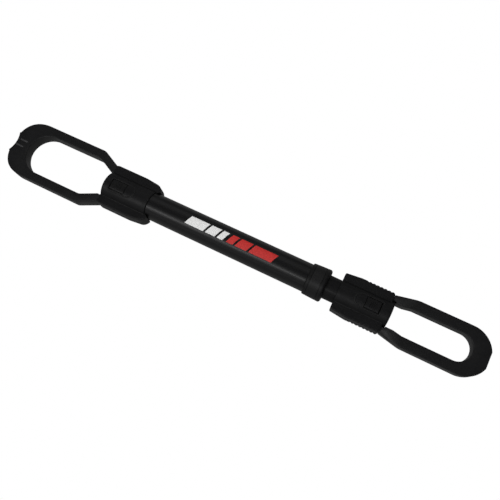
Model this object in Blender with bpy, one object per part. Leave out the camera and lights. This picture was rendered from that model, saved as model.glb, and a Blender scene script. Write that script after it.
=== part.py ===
"""Telescoping crossbar for a bicycle rack: a spring-loaded round bar with a latching loop at each end.

The bar lies along X on its flat feet, wide loop at -X and narrow loop at +X. Units are metres, +Z up,
and the origin is on the ground under the middle of the bar.

Each end is built in its own head frame: x = 0 is the head's loop-side face, +x runs into the head towards
the bar, and the loop reaches out to -x. An empty carries that frame to its end of the bar.
"""
import bpy
import bmesh
from math import acos, asin, atan2, cos, pi, radians, sin, sqrt
from mathutils import Matrix, Vector

# ---------------------------------------------------------------- driving dimensions
AXIS_Z = 0.0186            # bar axis above the ground
GAP = 0.0003               # clearance between pieces that touch

OUTER_R, OUTER_WALL = 0.0160, 0.0012
INNER_R, INNER_WALL = 0.01325, 0.0014

LEFT_FACE_X = -0.1593      # loop-side face of the left head
RIGHT_FACE_X = 0.1892      # loop-side face of the right head
TUBE_SEAT = 0.0012         # from the button's end to the tube's end, inside a head

COLLAR_X0, COLLAR_X1, COLLAR_R = 0.0960, 0.1175, 0.0186
COLLAR_TAPER = 0.0008      # how much thinner the collar is where it meets the outer tube
COLLAR_LIP = 0.0020        # thickness of the collar's end lip
OUTER_TUBE_X1 = COLLAR_X1 - COLLAR_LIP - GAP
INNER_TUBE_X0 = -0.0340
BUSH_LEN = 0.0220

LOOP_T = 0.0140            # loop thickness, along Z
WING_T = 0.0180            # head wing thickness, along Z
LEG_LEN = 0.0400           # rack leg inside the head
LEG_W = 0.0052
TOOTH_DEPTH, TOOTH_PITCH = 0.0012, 0.0040

BUTTON_W = 0.0124
YOKE_Z0, YOKE_Z1 = 0.0010, 0.0050
FOOT_W = 0.0160            # flat foot under each head
SCREW_R, SCREW_HEAD_R, SCREW_HEAD_H = 0.0012, 0.0021, 0.0018

LEFT = dict(
    side="left", face_x=LEFT_FACE_X, turn=0.0, tube_r=OUTER_R, held=("outer_tube", "spring_anchor"),
    length=0.0588, barrel_r=0.0175, half_w=0.0252, taper_w=0.0233, taper_from=0.0408, corner_r=0.0080,
    wing_start=0.0, wing_end=0.0634, ear_in=0.0166, mouth=(0.0030, 0.0009), ribs=0, button=(0.0095, 0.0283),
    leg_inset=0.0015, loop_half_w=0.0353, neck_out=0.0243, neck_in=0.0150, neck_len=0.0045,
    bend=0.0234, bend_r=0.010, inner_bend=0.0246, inner_r=0.0247, inner_c=0.0874, tip=0.1343, end_c=0.0997, end_power=2.5,
    notch_half=0.0122, notch_depth=0.0028,
)
RIGHT = dict(
    side="right", face_x=RIGHT_FACE_X, turn=pi, tube_r=INNER_R, held=("inner_tube",),
    length=0.0587, barrel_r=0.0152, half_w=0.0229, taper_w=0.0209, taper_from=0.0407, corner_r=0.0012,
    wing_start=0.0034, wing_end=0.0587, ear_in=0.0, mouth=(0.0022, 0.0017), ribs=7, button=(0.0122, 0.0282),
    leg_inset=0.0022, loop_half_w=0.0267, neck_out=0.0214, neck_in=0.0133, neck_len=0.0085,
    bend=0.0205, bend_r=0.030, inner_bend=0.0185, inner_r=0.0152, inner_c=0.0719, tip=0.1044, end_c=0.0788, end_power=2.0,
    notch_half=0.0088, notch_depth=0.0,
)

# ---------------------------------------------------------------- scene, collections, materials
for old in list(bpy.data.objects):
    bpy.data.objects.remove(old)


def collection(name):
    group = bpy.data.collections.new(name)
    bpy.context.scene.collection.children.link(group)
    return group


PARTS = collection("crossbar_adaptor")
CUTTERS = collection("cutters")


def material(name, colour, roughness, metallic=0.0):
    mat = bpy.data.materials.new(name)
    mat.use_nodes = True
    shader = mat.node_tree.nodes["Principled BSDF"]
    shader.inputs["Base Color"].default_value = (*colour, 1.0)
    shader.inputs["Roughness"].default_value = roughness
    shader.inputs["Metallic"].default_value = metallic
    return mat


BLACK_PAINT = material("black_paint", (0.012, 0.012, 0.013), 0.38)
BLACK_PLASTIC = material("black_plastic", (0.014, 0.014, 0.015), 0.50)
BLACK_RUBBER = material("black_rubber", (0.020, 0.020, 0.020), 0.80)
WHITE_ACETAL = material("white_acetal", (0.75, 0.74, 0.70), 0.45)
STEEL = material("zinc_steel", (0.55, 0.56, 0.58), 0.35, 1.0)


# ---------------------------------------------------------------- modelling helpers
def add(name, mesh, group=PARTS, mat=None, parent=None, at=(0.0, 0.0, 0.0)):
    obj = bpy.data.objects.new(name, mesh)
    group.objects.link(obj)
    obj.location = at
    if parent:
        obj.parent = parent
    if mat:
        mesh.materials.clear()
        mesh.materials.append(mat)
    if group is CUTTERS:
        obj.hide_render = True
        obj.display_type = "WIRE"
    return obj


def smooth(mesh, degrees=35):
    mesh.shade_smooth()
    mesh.set_sharp_from_angle(angle=radians(degrees))
    return mesh


def box_mesh(name, low, high):
    low, high = Vector(low), Vector(high)
    bm = bmesh.new()
    bmesh.ops.create_cube(bm, size=1.0)
    bmesh.ops.scale(bm, vec=high - low, verts=bm.verts)
    bmesh.ops.translate(bm, vec=(low + high) / 2, verts=bm.verts)
    mesh = bpy.data.meshes.new(name)
    bm.to_mesh(mesh)
    bm.free()
    return mesh


def rod_mesh(name, radius, x0, x1, y=0.0, z=0.0, along="X", segments=32):
    """A solid rod between two places on its own axis; for Z rods x0 and x1 are heights and y, z the place."""
    bm = bmesh.new()
    bmesh.ops.create_cone(bm, cap_ends=True, segments=segments, radius1=radius, radius2=radius, depth=x1 - x0)
    middle = (x0 + x1) / 2
    if along == "X":
        bmesh.ops.rotate(bm, matrix=Matrix.Rotation(pi / 2, 3, "Y"), verts=bm.verts)
        bmesh.ops.translate(bm, vec=(middle, y, z), verts=bm.verts)
    else:
        bmesh.ops.translate(bm, vec=(y, z, middle), verts=bm.verts)
    mesh = bpy.data.meshes.new(name)
    bm.to_mesh(mesh)
    bm.free()
    return mesh


def turned_mesh(name, profile, segments=48, along="X"):
    """A (place on the axis, radius) profile spun about the axis: a ring, or solid where it ends on the axis."""
    bm = bmesh.new()
    verts = [bm.verts.new((place, radius, 0.0)) for place, radius in profile]
    edges = [bm.edges.new((a, b)) for a, b in zip(verts, verts[1:] + verts[:1]) if a.co.y or b.co.y]
    bmesh.ops.spin(bm, geom=verts + edges, cent=(0, 0, 0), axis=(1, 0, 0), angle=2 * pi, steps=segments)
    bmesh.ops.remove_doubles(bm, verts=bm.verts, dist=1e-6)
    if along == "Z":
        bmesh.ops.rotate(bm, matrix=Matrix.Rotation(-pi / 2, 3, "Y"), verts=bm.verts)
    bmesh.ops.recalc_face_normals(bm, faces=bm.faces)
    mesh = bpy.data.meshes.new(name)
    bm.to_mesh(mesh)
    bm.free()
    return smooth(mesh)


def plate_mesh(name, outline, low, high, edge=0.0, segments=2):
    """A flat outline in XY as a filled 2D curve, extruded from low to high, its edges rounded by edge."""
    curve = bpy.data.curves.new(name, "CURVE")
    curve.dimensions = "2D"
    curve.fill_mode = "BOTH"
    curve.extrude = (high - low) / 2
    spline = curve.splines.new("POLY")
    spline.points.add(len(outline) - 1)
    for point, (x, y) in zip(spline.points, outline):
        point.co = (x, y, 0.0, 1.0)
    spline.use_cyclic_u = True
    holder = bpy.data.objects.new(name, curve)
    CUTTERS.objects.link(holder)
    mesh = bpy.data.meshes.new_from_object(holder.evaluated_get(bpy.context.evaluated_depsgraph_get()))
    bpy.data.objects.remove(holder)
    bm = bmesh.new()
    bm.from_mesh(mesh)
    bmesh.ops.remove_doubles(bm, verts=bm.verts, dist=1e-6)
    bmesh.ops.dissolve_limit(bm, angle_limit=radians(0.5), verts=bm.verts, edges=bm.edges)
    bmesh.ops.recalc_face_normals(bm, faces=bm.faces)
    if edge:
        rims = [e for e in bm.edges if len(e.link_faces) == 2 and abs(e.verts[0].co.z - e.verts[1].co.z) < 1e-7]
        bmesh.ops.bevel(bm, geom=rims, offset=edge, segments=segments, profile=0.5, affect="EDGES")
    bmesh.ops.translate(bm, vec=(0, 0, (low + high) / 2), verts=bm.verts)
    bmesh.ops.triangulate(bm, faces=[f for f in bm.faces if len(f.verts) > 4])
    bm.to_mesh(mesh)
    bm.free()
    mesh.name = name
    return smooth(mesh)


def coil_mesh(name, radius, wire, turns, length, steps=12, sides=6):
    """A helical wire about Z from 0 to length, with flat closed ends."""
    bm = bmesh.new()
    rings = []
    for i in range(turns * steps + 1):
        angle = 2 * pi * i / steps
        height = wire + (length - 2 * wire) * i / (turns * steps)
        ring = []
        for k in range(sides):
            a = 2 * pi * k / sides
            r = radius + wire * cos(a)
            ring.append(bm.verts.new((r * cos(angle), r * sin(angle), height + wire * sin(a))))
        rings.append(ring)
    for first, second in zip(rings, rings[1:]):
        for k in range(sides):
            bm.faces.new((first[k], first[(k + 1) % sides], second[(k + 1) % sides], second[k]))
    bm.faces.new(rings[0])
    bm.faces.new(rings[-1])
    bmesh.ops.recalc_face_normals(bm, faces=bm.faces)
    mesh = bpy.data.meshes.new(name)
    bm.to_mesh(mesh)
    bm.free()
    return smooth(mesh, 60)


def boolean(obj, tool, operation="DIFFERENCE"):
    step = obj.modifiers.new(f"{operation.lower()}_{tool.name}", "BOOLEAN")
    step.operation = operation
    step.object = tool


def empty(name, location, turn):
    holder = bpy.data.objects.new(name, None)
    PARTS.objects.link(holder)
    holder.location = location
    holder.rotation_euler = (0.0, 0.0, turn)
    return holder


def arc(centre, radius, start, end, steps):
    """Points along a circle, both ends included; angles in radians."""
    return [(centre[0] + radius * cos(start + (end - start) * i / steps),
             centre[1] + radius * sin(start + (end - start) * i / steps)) for i in range(steps + 1)]


def filleted(before, corner, after, radius, steps=4):
    """The corner between two straight runs, rounded."""
    a, c, b = Vector(before), Vector(corner), Vector(after)
    u, v = (a - c).normalized(), (b - c).normalized()
    half = acos(max(-1.0, min(1.0, u.dot(v)))) / 2
    centre = c + (u + v).normalized() * (radius / sin(half))
    first = c + u * (radius * cos(half) / sin(half)) - centre
    last = c + v * (radius * cos(half) / sin(half)) - centre
    start = atan2(first.y, first.x)
    sweep = (atan2(last.y, last.x) - start + pi) % (2 * pi) - pi
    return arc(centre, radius, start, start + sweep, steps)


# ---------------------------------------------------------------- the telescoping bar
def tube_mesh(name, x0, x1, outer, wall):
    return turned_mesh(name, [(x0, outer), (x1, outer), (x1, outer - wall), (x0, outer - wall)])


def build_bar():
    axis = (0.0, 0.0, AXIS_Z)
    outer_x0 = LEFT_FACE_X + LEFT["button"][1] + TUBE_SEAT
    inner_x1 = RIGHT_FACE_X - RIGHT["button"][1] - TUBE_SEAT
    bore = OUTER_R - OUTER_WALL
    outer = tube_mesh("outer_tube", outer_x0, OUTER_TUBE_X1, OUTER_R, OUTER_WALL)
    inner = tube_mesh("inner_tube", INNER_TUBE_X0, inner_x1, INNER_R, INNER_WALL)
    add("outer_tube", outer, mat=BLACK_PAINT, at=axis)
    add("inner_tube", inner, mat=BLACK_PAINT, at=axis)

    chamfer, lip_bore, seat = 0.0018, INNER_R + GAP, OUTER_R + GAP
    lip_x = COLLAR_X1 - COLLAR_LIP
    add("end_collar", turned_mesh("end_collar", [
        (COLLAR_X0, seat), (COLLAR_X0, COLLAR_R - COLLAR_TAPER - 0.0010),
        (COLLAR_X0 + 0.0024, COLLAR_R - COLLAR_TAPER),
        (COLLAR_X1 - chamfer, COLLAR_R), (COLLAR_X1, COLLAR_R - 0.0030), (COLLAR_X1, lip_bore),
        (lip_x, lip_bore), (lip_x, seat)]), mat=BLACK_PLASTIC, at=axis)

    bush_x1 = lip_x - GAP
    add("guide_bush", tube_mesh("guide_bush", bush_x1 - BUSH_LEN, bush_x1, bore - GAP,
                                bore - GAP - INNER_R - GAP), mat=WHITE_ACETAL, at=axis)
    ring_x0 = INNER_TUBE_X0 + GAP
    add("slide_ring", tube_mesh("slide_ring", ring_x0, ring_x0 + 0.012, bore - GAP,
                                bore - GAP - INNER_R - GAP), mat=WHITE_ACETAL, at=axis)

    stub_r = 0.0049
    plug_x0 = outer_x0 + 0.007
    add("spring_anchor", turned_mesh("spring_anchor", [
        (plug_x0, 0.0), (plug_x0, bore - GAP), (plug_x0 + 0.012, bore - GAP), (plug_x0 + 0.012, stub_r),
        (plug_x0 + 0.022, stub_r), (plug_x0 + 0.022, 0.0)], segments=32), mat=STEEL, at=axis)
    swivel_face = INNER_TUBE_X0 - GAP
    inner_bore = INNER_R - INNER_WALL - GAP
    add("spring_swivel", turned_mesh("spring_swivel", [
        (swivel_face - 0.012, 0.0), (swivel_face - 0.012, stub_r), (swivel_face - 0.002, stub_r),
        (swivel_face - 0.002, INNER_R), (swivel_face, INNER_R), (swivel_face, inner_bore),
        (swivel_face + 0.012, inner_bore), (swivel_face + 0.012, 0.0)], segments=32), mat=STEEL, at=axis)

    spring_x0 = plug_x0 + 0.012 + GAP
    spring_x1 = swivel_face - 0.002 - GAP
    spring = add("tension_spring", coil_mesh("tension_spring", 0.0064, 0.0009, 18, spring_x1 - spring_x0, sides=5),
                 mat=STEEL, at=(spring_x0, 0.0, AXIS_Z))
    spring.rotation_euler = (0.0, pi / 2, 0.0)


# ---------------------------------------------------------------- loops
def loop_outline(spec):
    """Half of the loop's outline from leg tip to nose at +y, then its mirror image back."""
    leg_out = leg_outer(spec)
    leg_in = leg_out - LEG_W
    shoulder, inner_shoulder = spec["wing_start"] - GAP, -GAP
    half = spec["loop_half_w"]
    bend, nose, end_c = -spec["bend"], -spec["tip"], -spec["end_c"]

    outer = [(LEG_LEN - 0.001, leg_out), (shoulder, leg_out), (shoulder, spec["neck_out"])]
    outer += filleted(outer[-1], (bend, half), (end_c, half), spec["bend_r"])
    reach, power, steps = end_c - nose, spec["end_power"], 22
    stop = spec["notch_half"]
    if power == 2.0:
        reach = sqrt(half ** 2 - stop ** 2)
        end_c = nose + reach
        reach = half
    for i in range(1, steps):
        a = pi / 2 * i / steps
        x = end_c - reach * sin(a) ** (2 / power)
        y = half * cos(a) ** (2 / power)
        if y > stop and x > nose + 1e-4:
            outer.append((x, y))
    outer.append((nose, stop))
    if spec["notch_depth"]:
        depth = spec["notch_depth"]
        radius = (stop ** 2 + depth ** 2) / (2 * depth)
        sweep = asin(stop / radius)
        outer += [(nose + radius * cos(a) - (radius - depth), radius * sin(a))
                  for a in (sweep * k / 4 for k in (3, 2, 1))]

    inner_half, inner_c = spec["inner_r"], -spec["inner_c"]
    inner = arc((inner_c, 0.0), inner_half, pi, pi / 2, 14)[1:]
    neck = (-spec["neck_len"], spec["neck_in"])
    inner += filleted(inner[-1], (-spec["inner_bend"], inner_half), neck, 0.009)
    inner += [neck, (inner_shoulder, spec["neck_in"]), (inner_shoulder, leg_in)]

    def rack(x, depth=0.0):
        """The rack's inner side, drawn in very slightly towards the leg's tip."""
        return (x, leg_in + 0.0002 * (x / LEG_LEN) ** 2 + depth)

    for k in range(int((LEG_LEN - 0.008) / TOOTH_PITCH) - 1):
        root = 0.006 + k * TOOTH_PITCH
        inner += [rack(root), rack(root + 0.0004, TOOTH_DEPTH), rack(root + 0.0024)]
    inner.append(rack(LEG_LEN - 0.001))

    def mirrored(points):
        return [(x, -y) for x, y in points]

    eye = [(inner_c - inner_half, 0.0)]
    dip = [(nose + spec["notch_depth"], 0.0)] if spec["notch_depth"] else []
    return inner[::-1] + eye + mirrored(inner) + mirrored(outer) + dip + outer[::-1]


def leg_outer(spec):
    """Outer side of the rack leg, where the head is at its narrowest along the leg."""
    narrow = width_at(spec, LEG_LEN + 0.001)
    return narrow - spec["leg_inset"]


def width_at(spec, x):
    """Half width of the head's wings along the head."""
    if x <= spec["taper_from"]:
        return spec["half_w"]
    part = (x - spec["taper_from"]) / (spec["length"] - spec["taper_from"])
    return spec["half_w"] + (spec["taper_w"] - spec["half_w"]) * part


def build_loop(spec, frame):
    name = f"{spec['side']}_loop"
    outline = loop_outline(spec)
    loop = add(name, plate_mesh(name, outline, -LOOP_T / 2, LOOP_T / 2), mat=BLACK_PLASTIC, parent=frame)
    leg_in = leg_outer(spec) - LEG_W
    for sign, label in ((1, "a"), (-1, "b")):
        low_y, high_y = sorted((sign * (leg_in - 0.001), sign * (leg_in + TOOTH_DEPTH + 0.0004)))
        relief = box_mesh(f"{name}_relief_{label}", (0.0045, low_y, -LOOP_T), (LEG_LEN + 0.005, high_y, -0.0005))
        boolean(loop, add(f"{name}_relief_{label}", relief, CUTTERS, parent=frame))


# ---------------------------------------------------------------- heads
def wing_outline(spec, ribs):
    """Top view of the wings from the loop side on +y; grip ribs run along the edges, ears flank the tube."""
    rib_pitch, rib_depth, crown = 0.0042, 0.0007, 0.0003

    def flank(x, depth=0.0):
        """The outer edge, bowed out a little over the length that is gripped."""
        along = x / spec["taper_from"]
        return (x, spec["half_w"] - crown * (2 * along - 1) ** 2 - depth)

    mouth_x, mouth_y = spec["mouth"]
    start = spec["wing_start"]
    side = [(start, spec["half_w"] - mouth_y), flank(start + mouth_x)]
    for k in range(ribs):
        x = 0.0062 + k * rib_pitch
        side += [flank(x), flank(x + 0.0006, rib_depth), flank(x + 0.0016, rib_depth), flank(x + 0.0022)]
    side.append(flank(spec["taper_from"]))
    end = spec["wing_end"]
    rounded = filleted(side[-1], (end, width_at(spec, end)), (end, 0.0), spec["corner_r"], 8)
    side += [point for point in rounded if point[1] > spec["ear_in"]]
    if spec["ear_in"]:
        side.append((spec["length"] - 0.0010, spec["ear_in"] - 0.0049))
    return side + [(x, -y) for x, y in reversed(side)]


def head_solid(name, spec, frame):
    """The whole head before it is split into cover and body, with everything inside cut out."""
    length, barrel_r = spec["length"], spec["barrel_r"]
    rim = 0.0008
    barrel = turned_mesh(name, [(0.0, 0.0), (0.0, barrel_r - rim), (rim, barrel_r), (length - rim, barrel_r),
                                (length, barrel_r - rim), (length, 0.0)], segments=64)
    head = add(name, barrel, mat=BLACK_PLASTIC, parent=frame)
    edge = 0.0 if spec["ribs"] else 0.0012
    wings = plate_mesh(f"{name}_wings", wing_outline(spec, spec["ribs"]), -WING_T / 2, WING_T / 2, edge)
    boolean(head, add(f"{name}_wings", wings, CUTTERS, parent=frame), "UNION")
    foot = box_mesh(f"{name}_foot", (0.008, -FOOT_W / 2, -AXIS_Z), (length - 0.008, FOOT_W / 2, -barrel_r + 0.003))
    boolean(head, add(f"{name}_foot", foot, CUTTERS, parent=frame), "UNION")

    leg_out = leg_outer(spec) + GAP
    leg_in = leg_out - LEG_W - 2 * GAP
    channel_h = LOOP_T / 2 + GAP
    tube_end = spec["button"][1] + TUBE_SEAT
    cavity_x0, cavity_x1 = 0.0069, tube_end - GAP
    cutters = [
        rod_mesh("bore", spec["tube_r"] + GAP, tube_end - 2 * GAP, length + 0.01, segments=48),
        rod_mesh("works", barrel_r - 0.0018, cavity_x0, cavity_x1, segments=48),
        box_mesh("cross", (cavity_x0, -leg_out, -channel_h), (cavity_x1, leg_out, channel_h)),
    ]
    for sign in (1, -1):
        low_y, high_y = sorted((sign * leg_in, sign * leg_out))
        cutters.append(box_mesh("channel", (-0.01, low_y, -channel_h), (LEG_LEN + 0.001, high_y, channel_h)))
    x0, x1 = spec["button"]
    half = BUTTON_W / 2 + 0.0004
    cutters.append(box_mesh("window", (x0 - 0.0004, -half, 0.0005), (x1 + 0.0004, half, 0.03)))
    for mesh in cutters:
        boolean(head, add(f"{name}_{mesh.name}", mesh, CUTTERS, parent=frame))
    return head


def screw_places(spec):
    near_y = 0.0098
    far_x = spec["length"] - 0.0050
    far_y = width_at(spec, far_x) - 0.0031
    return [(0.0038, near_y), (0.0038, -near_y), (far_x, far_y), (far_x, -far_y)]


def build_head(spec, frame):
    side = spec["side"]
    cover = head_solid(f"{side}_head_cover", spec, frame)
    body = head_solid(f"{side}_head_body", spec, frame)
    reach = (-0.02, -0.06), (spec["length"] + 0.02, 0.06)
    upper = box_mesh(f"{side}_upper_half", (*reach[0], GAP / 2), (*reach[1], 0.06))
    lower = box_mesh(f"{side}_lower_half", (*reach[0], -0.06), (*reach[1], -GAP / 2))
    boolean(cover, add(upper.name, upper, CUTTERS, parent=frame), "INTERSECT")
    boolean(body, add(lower.name, lower, CUTTERS, parent=frame), "INTERSECT")

    head_z = -0.0072
    for number, (x, y) in enumerate(screw_places(spec), 1):
        tip_z = 0.0060
        hole = rod_mesh(f"{side}_pilot_{number}", SCREW_R + GAP, head_z - 0.002, tip_z + GAP, x, y, "Z", 12)
        recess = rod_mesh(f"{side}_recess_{number}", SCREW_HEAD_R + GAP, -0.03, head_z + GAP, x, y, "Z", 16)
        hole_cut = add(hole.name, hole, CUTTERS, parent=frame)
        recess_cut = add(recess.name, recess, CUTTERS, parent=frame)
        boolean(cover, hole_cut)
        boolean(body, hole_cut)
        boolean(body, recess_cut)
        build_screw(f"{side}_case_screw_{number}", x, y, head_z - SCREW_HEAD_H, tip_z, frame)

    build_tube_screw(spec, body, frame)
    build_button(spec, frame)
    build_seat_pad(spec, cover, body, frame)


def build_screw(name, x, y, low, tip, frame):
    """A pan-head screw pointing up, with a plain socket in its head."""
    head_top = low + SCREW_HEAD_H
    profile = [(low + 0.0008, 0.0), (low + 0.0008, 0.0009), (low, 0.0009), (low, SCREW_HEAD_R - 0.0004),
               (low + 0.0005, SCREW_HEAD_R), (head_top, SCREW_HEAD_R), (head_top, SCREW_R),
               (tip - 0.0008, SCREW_R), (tip, 0.0)]
    add(name, turned_mesh(name, profile, 12, "Z"), mat=STEEL, parent=frame, at=(x, y, 0.0))


def build_tube_screw(spec, body, frame):
    """One flat-headed screw from below pins the head to its tube."""
    side, x = spec["side"], 0.044
    name = f"{side}_tube_screw"
    head_low = -AXIS_Z + 0.0006
    head_top = head_low + 0.0010
    tip = -spec["tube_r"] + 0.0045
    recess = rod_mesh(f"{side}_tube_recess", SCREW_HEAD_R + GAP, -0.03, head_top + GAP, x, 0.0, "Z", 16)
    boolean(body, add(recess.name, recess, CUTTERS, parent=frame))
    hole = rod_mesh(f"{side}_tube_hole", SCREW_R + GAP, head_low, tip + GAP, x, 0.0, "Z", 12)
    hole_cut = add(hole.name, hole, CUTTERS, parent=frame)
    boolean(body, hole_cut)
    for held in spec["held"]:
        boolean(bpy.data.objects[held], hole_cut)
    profile = [(head_low, 0.0), (head_low, SCREW_HEAD_R - 0.0003), (head_low + 0.0003, SCREW_HEAD_R),
               (head_top, SCREW_HEAD_R), (head_top, SCREW_R), (tip - 0.0006, SCREW_R), (tip, 0.0)]
    add(name, turned_mesh(name, profile, 12, "Z"), mat=STEEL, parent=frame, at=(x, 0.0, 0.0))


def build_button(spec, frame):
    side = spec["side"]
    x0, x1 = spec["button"]
    half = BUTTON_W / 2
    name = f"{side}_release_button"
    crown = rod_mesh(name, spec["barrel_r"] + 0.0005, x0, x1, segments=64)
    button = add(name, crown, mat=BLACK_PLASTIC, parent=frame)
    block = box_mesh(f"{name}_block", (x0 - 0.001, -half, YOKE_Z1 + GAP), (x1 + 0.001, half, 0.03))
    boolean(button, add(block.name, block, CUTTERS, parent=frame), "INTERSECT")

    leg_in = leg_outer(spec) - LEG_W
    tip = leg_in - GAP
    yoke_x0 = x0 + 0.0015
    yoke_x1 = yoke_x0 + 0.0110
    outline = []
    for sign in (1, -1):
        run = [(yoke_x0, sign * (tip - 0.002)), (yoke_x0 + 0.0015, sign * tip),
               (yoke_x1 - 0.0015, sign * tip), (yoke_x1, sign * (tip - 0.002))]
        outline += run if sign == 1 else list(reversed(run))
    name = f"{side}_pawl_yoke"
    add(name, plate_mesh(name, outline, YOKE_Z0, YOKE_Z1), mat=STEEL, parent=frame)

    spring_z0 = -(spec["barrel_r"] - 0.0018) + 0.0006
    name = f"{side}_button_spring"
    add(name, coil_mesh(name, 0.0034, 0.0004, 6, YOKE_Z0 - GAP - spring_z0, steps=12, sides=5), mat=STEEL,
        parent=frame, at=((yoke_x0 + yoke_x1) / 2, 0.0, spring_z0))


def build_seat_pad(spec, cover, body, frame):
    """A soft pad let into the loop-side face, where the head bears on the post."""
    side = spec["side"]
    name = f"{side}_seat_pad"
    pad_r, depth, slot = spec["barrel_r"] - 0.0035, 0.0016, 0.0062
    profile = [(-0.0002, 0.0), (-0.0002, pad_r - 0.0006), (0.0004, pad_r), (depth - GAP, pad_r), (depth - GAP, 0.0)]
    pocket = rod_mesh(f"{name}_pocket", pad_r + GAP, -0.01, depth, segments=40)
    trim = box_mesh(f"{name}_trim", (-0.01, -0.03, -slot), (0.01, 0.03, slot))
    pocket_cut = add(pocket.name, pocket, CUTTERS, parent=frame)
    pocket_trim = box_mesh(f"{name}_slot", (-0.02, -0.03, -slot - GAP), (0.02, 0.03, slot + GAP))
    boolean(pocket_cut, add(pocket_trim.name, pocket_trim, CUTTERS, parent=frame), "INTERSECT")
    boolean(cover, pocket_cut)
    boolean(body, pocket_cut)
    pad = add(name, turned_mesh(name, profile, 40), mat=BLACK_RUBBER, parent=frame)
    boolean(pad, add(trim.name, trim, CUTTERS, parent=frame), "INTERSECT")


# ---------------------------------------------------------------- assembly
build_bar()
for end in (LEFT, RIGHT):
    head_frame = empty(f"{end['side']}_head_frame", (end["face_x"], 0.0, AXIS_Z), end["turn"])
    build_head(end, head_frame)
    build_loop(end, head_frame)
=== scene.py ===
"""Looks of the telescoping bicycle crossbar: smooth moulded heads and loops, painted tubes, lights and camera.

Every piece is built in the row frame, in metres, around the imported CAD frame: the bar lies along X with its
wide loop at -X. Each head is drawn in its own head frame, where x = 0 is the head's loop-side face, +x runs
into the head towards the bar and z = 0 is the bar's axis.
"""

from math import acos, asin, atan2, cos, degrees, pi, radians, sin, sqrt

import bmesh
import bpy
from mathutils import Matrix, Vector


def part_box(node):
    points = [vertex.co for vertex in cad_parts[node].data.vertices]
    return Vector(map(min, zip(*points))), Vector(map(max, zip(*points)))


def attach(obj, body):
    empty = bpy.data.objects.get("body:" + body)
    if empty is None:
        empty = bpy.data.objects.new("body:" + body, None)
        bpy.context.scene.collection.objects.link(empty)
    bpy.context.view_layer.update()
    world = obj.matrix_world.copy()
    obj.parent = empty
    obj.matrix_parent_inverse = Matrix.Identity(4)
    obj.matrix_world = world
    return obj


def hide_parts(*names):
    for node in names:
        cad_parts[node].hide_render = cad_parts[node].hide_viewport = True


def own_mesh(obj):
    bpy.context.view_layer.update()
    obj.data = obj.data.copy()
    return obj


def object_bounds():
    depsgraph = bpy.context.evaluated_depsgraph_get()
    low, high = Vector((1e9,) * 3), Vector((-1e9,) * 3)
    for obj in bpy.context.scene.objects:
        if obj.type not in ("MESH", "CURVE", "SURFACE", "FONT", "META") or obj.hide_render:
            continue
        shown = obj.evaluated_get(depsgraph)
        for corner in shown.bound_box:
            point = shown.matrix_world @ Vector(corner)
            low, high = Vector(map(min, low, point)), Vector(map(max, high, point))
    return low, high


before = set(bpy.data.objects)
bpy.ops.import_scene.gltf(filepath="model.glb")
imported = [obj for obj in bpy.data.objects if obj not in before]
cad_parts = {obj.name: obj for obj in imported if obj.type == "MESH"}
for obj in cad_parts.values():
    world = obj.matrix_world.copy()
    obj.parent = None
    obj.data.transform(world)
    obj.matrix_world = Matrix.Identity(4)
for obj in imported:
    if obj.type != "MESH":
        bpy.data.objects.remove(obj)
cad_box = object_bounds()

# ---------------------------------------------------------------- driving dimensions, from the frame
TUBE_LOW, TUBE_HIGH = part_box("outer_tube")
AXIS_Z = (TUBE_LOW.z + TUBE_HIGH.z) / 2
OUTER_R = (TUBE_HIGH.z - TUBE_LOW.z) / 2
INNER_LOW, INNER_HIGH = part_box("inner_tube")
INNER_R = (INNER_HIGH.z - INNER_LOW.z) / 2
COLLAR_LOW, COLLAR_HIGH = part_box("end_collar")
COLLAR_R = (COLLAR_HIGH.z - COLLAR_LOW.z) / 2

OUTER_WALL, INNER_WALL = 0.0012, 0.0014
TUBE_EDGE = 0.0004         # easing of the tubes' end edges
GAP = 0.0003               # clearance between pieces that touch

# loops
LOOP_T = 0.0140
LOOP_EDGE = 0.0010         # rounding of the loops' edges
NECK_R = 0.009             # inner corner where a loop's arm turns in to its neck
NOSE_RIB_R = 0.0012        # the two ribs on the left loop's nose
NOSE_RIB_Z = LOOP_T / 2 - 0.0004
NOSE_RIB_LEN = 0.0112
NOSE_RIBS = ((0.0052, 0.0034), (-0.0024, 0.0016))      # sideways place, and distance from the tip
LEG_LEN, LEG_W = 0.0400, 0.0052
LEG_PLAY = 0.001           # a leg's tip stops this short of LEG_LEN, and its channel goes as far past it
LEG_DRAFT = 0.0002         # by which the rack draws in at the leg's tip
TOOTH_DEPTH, TOOTH_PITCH = 0.0012, 0.0040
TOOTH_START, TOOTH_RISE, TOOTH_LENGTH = 0.006, 0.0004, 0.0024

# heads
RIM = 0.0009               # rounding of the wings' ends and of the barrels' tube-side end
WING_T, WING_CORNER = 0.0180, 0.0013
MOUTH_CURVE = 1.3          # power of the curve in which the wings narrow towards the mouth
RIB_X0, RIB_PITCH, RIB_DEPTH = 0.0060, 0.0042, 0.0007  # grip ribs along the wings' edges
BARREL_BLEND = 0.0006      # fillet between barrel and wings
SEAM_HALF, SEAM_DEPTH = 0.0005, 0.0003                 # the groove along the parting line
FOOT_HALF = 0.0080
FOOT_X0, FOOT_RAMP = 0.0080, 0.0006
STEP = 0.00006             # from the barrel's end face to the first section of the ears
TUBE_SEAT = 0.0012         # from a button's end to the tube's end
WORKS_X0, WORKS_WALL = 0.0069, 0.0018
PAD_DEPTH, PAD_HALF_H, PAD_MARGIN = 0.0016, 0.0065, 0.0035

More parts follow.
